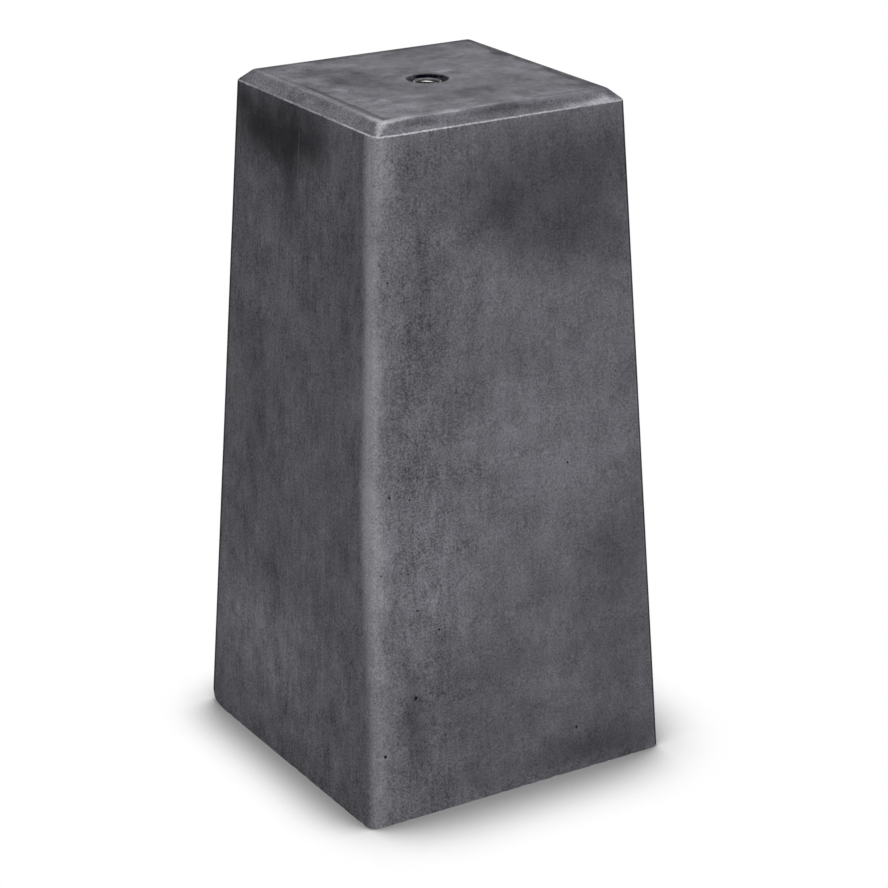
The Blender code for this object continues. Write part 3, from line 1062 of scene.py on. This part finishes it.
def turnedMesh(name, profile, steps):
    # (radius, height) points, with the outer side running down
    outline = bpy.data.meshes.new(name + "Profile")
    points = [(radius, 0, level) for radius, level in profile]
    outline.from_pydata(points, [(step, step + 1) for step in range(len(points) - 1)], [])
    lathe = addPiece(name + "Lathe", outline, [])
    screw = lathe.modifiers.new("turn", "SCREW")
    screw.axis = "Z"
    screw.angle = 2 * math.pi
    screw.steps = steps
    screw.render_steps = steps
    screw.use_merge_vertices = True
    screw.merge_threshold = 0.00001
    mesh = plainMesh(lathe, name)
    bpy.data.objects.remove(lathe, do_unlink=True)
    shadeRound(mesh, 30)
    return mesh


def socketProfile(sizes):
    root, mouth, top, edge = sizes["rootRadius"], sizes["mouthRadius"], sizes["top"], sizes["edge"]
    floor, foot = top - sizes["depth"], sizes["foot"]
    point = floor - sizes["crestRadius"] / math.tan(math.radians(sizes["drillPoint"]))
    outer = sizes["radius"]
    return [
        (0, point), (sizes["crestRadius"], floor), (root, floor + 1.2 * mm), (root, top - 1.5 * mm),
        (mouth - 0.75 * mm, top - 0.95 * mm), (mouth, top - 0.15 * mm), (mouth + 0.1 * mm, top - 0.03 * mm),
        (outer - edge, top), (outer, top - edge), (outer, foot + 1 * mm), (outer - 1 * mm, foot), (0, foot),
    ]


def threadTree():
    # a ridge of trapezoid section along a helix
    tree = newTree("socketThread", {
        "Pitch": "Float", "Turns": "Float", "Radius": "Float", "Ridge Foot": "Float", "Ridge Crest": "Float",
        "Ridge Height": "Float", "Steps": "Int", "Low End": "Float", "Finish": "Material",
    })
    given = put(tree, "NodeGroupInput").outputs
    rise = multiply(tree, given["Pitch"], given["Turns"])
    helix = put(
        tree, "GeometryNodeCurveSpiral",
        {"Resolution": given["Steps"], "Rotations": given["Turns"], "Start Radius": given["Radius"],
         "End Radius": given["Radius"], "Height": rise, "Reverse": True},
    )
    upright = put(tree, "GeometryNodeSetCurveNormal", {"Curve": helix.outputs[0]}, mode="Z_UP")
    place = put(tree, "ShaderNodeCombineXYZ", {"Z": given["Low End"]})
    lifted = put(
        tree, "GeometryNodeTransform", {"Geometry": upright.outputs[0], "Translation": place.outputs[0]}
    )
    section = put(
        tree, "GeometryNodeCurvePrimitiveQuadrilateral",
        {"Bottom Width": given["Ridge Foot"], "Top Width": given["Ridge Crest"],
         "Height": given["Ridge Height"], "Offset": 0.0},
        mode="TRAPEZOID",
    )
    turned = put(
        tree, "GeometryNodeTransform",
        {"Geometry": section.outputs[0], "Rotation": (0, 0, math.radians(ridgeTurn))},
    )
    ridge = put(
        tree, "GeometryNodeCurveToMesh",
        {"Curve": lifted.outputs[0], "Profile Curve": turned.outputs[0], "Fill Caps": True},
    )
    real = put(tree, "GeometryNodeRealizeInstances", {"Geometry": ridge.outputs[0]})
    shaded = put(tree, "GeometryNodeSetMaterial", {"Geometry": real.outputs[0], "Material": given["Finish"]})
    put(tree, "NodeGroupOutput", {0: shaded.outputs[0]})
    return tree


def addSocket(zinc, thread):
    mesh = turnedMesh("socketBody", socketProfile(socketSizes), socketSizes["steps"])
    body = addPiece("socketBody", mesh, [zinc])
    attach(body, "root")
    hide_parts("threaded_socket")
    ridge = addPiece("socketThread", bpy.data.meshes.new("socketThread"), [thread])
    lowEnd = socketSizes["top"] - socketSizes["threadStart"] - socketThread["Pitch"] * socketThread["Turns"]
    addGeometryNodes(ridge, threadTree(), {**socketThread, "Low End": lowEnd, "Finish": thread})
    keepResult(ridge)
    shadeRound(ridge.data, 30)
    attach(ridge, "root")
    print("socket:", len(body.data.polygons) + len(ridge.data.polygons), "faces")


def finishPin(bar):
    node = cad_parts["anchor_pin"]
    node.data.materials.clear()
    node.data.materials.append(bar)


# the whole scene

bpy.context.scene.view_settings.view_transform = "Standard"
addCamera(cameraView)
addRoom(studioLight)
addFloor(floorSizes)
print("camera, lamps and floor placed")
addBlock(concreteMaterial(concreteLook), voidMaterial())
addSocket(steelMaterial("zincSteel"), steelMaterial("threadSteel"))
finishPin(steelMaterial("barSteel"))
print("block, socket and pin finished")
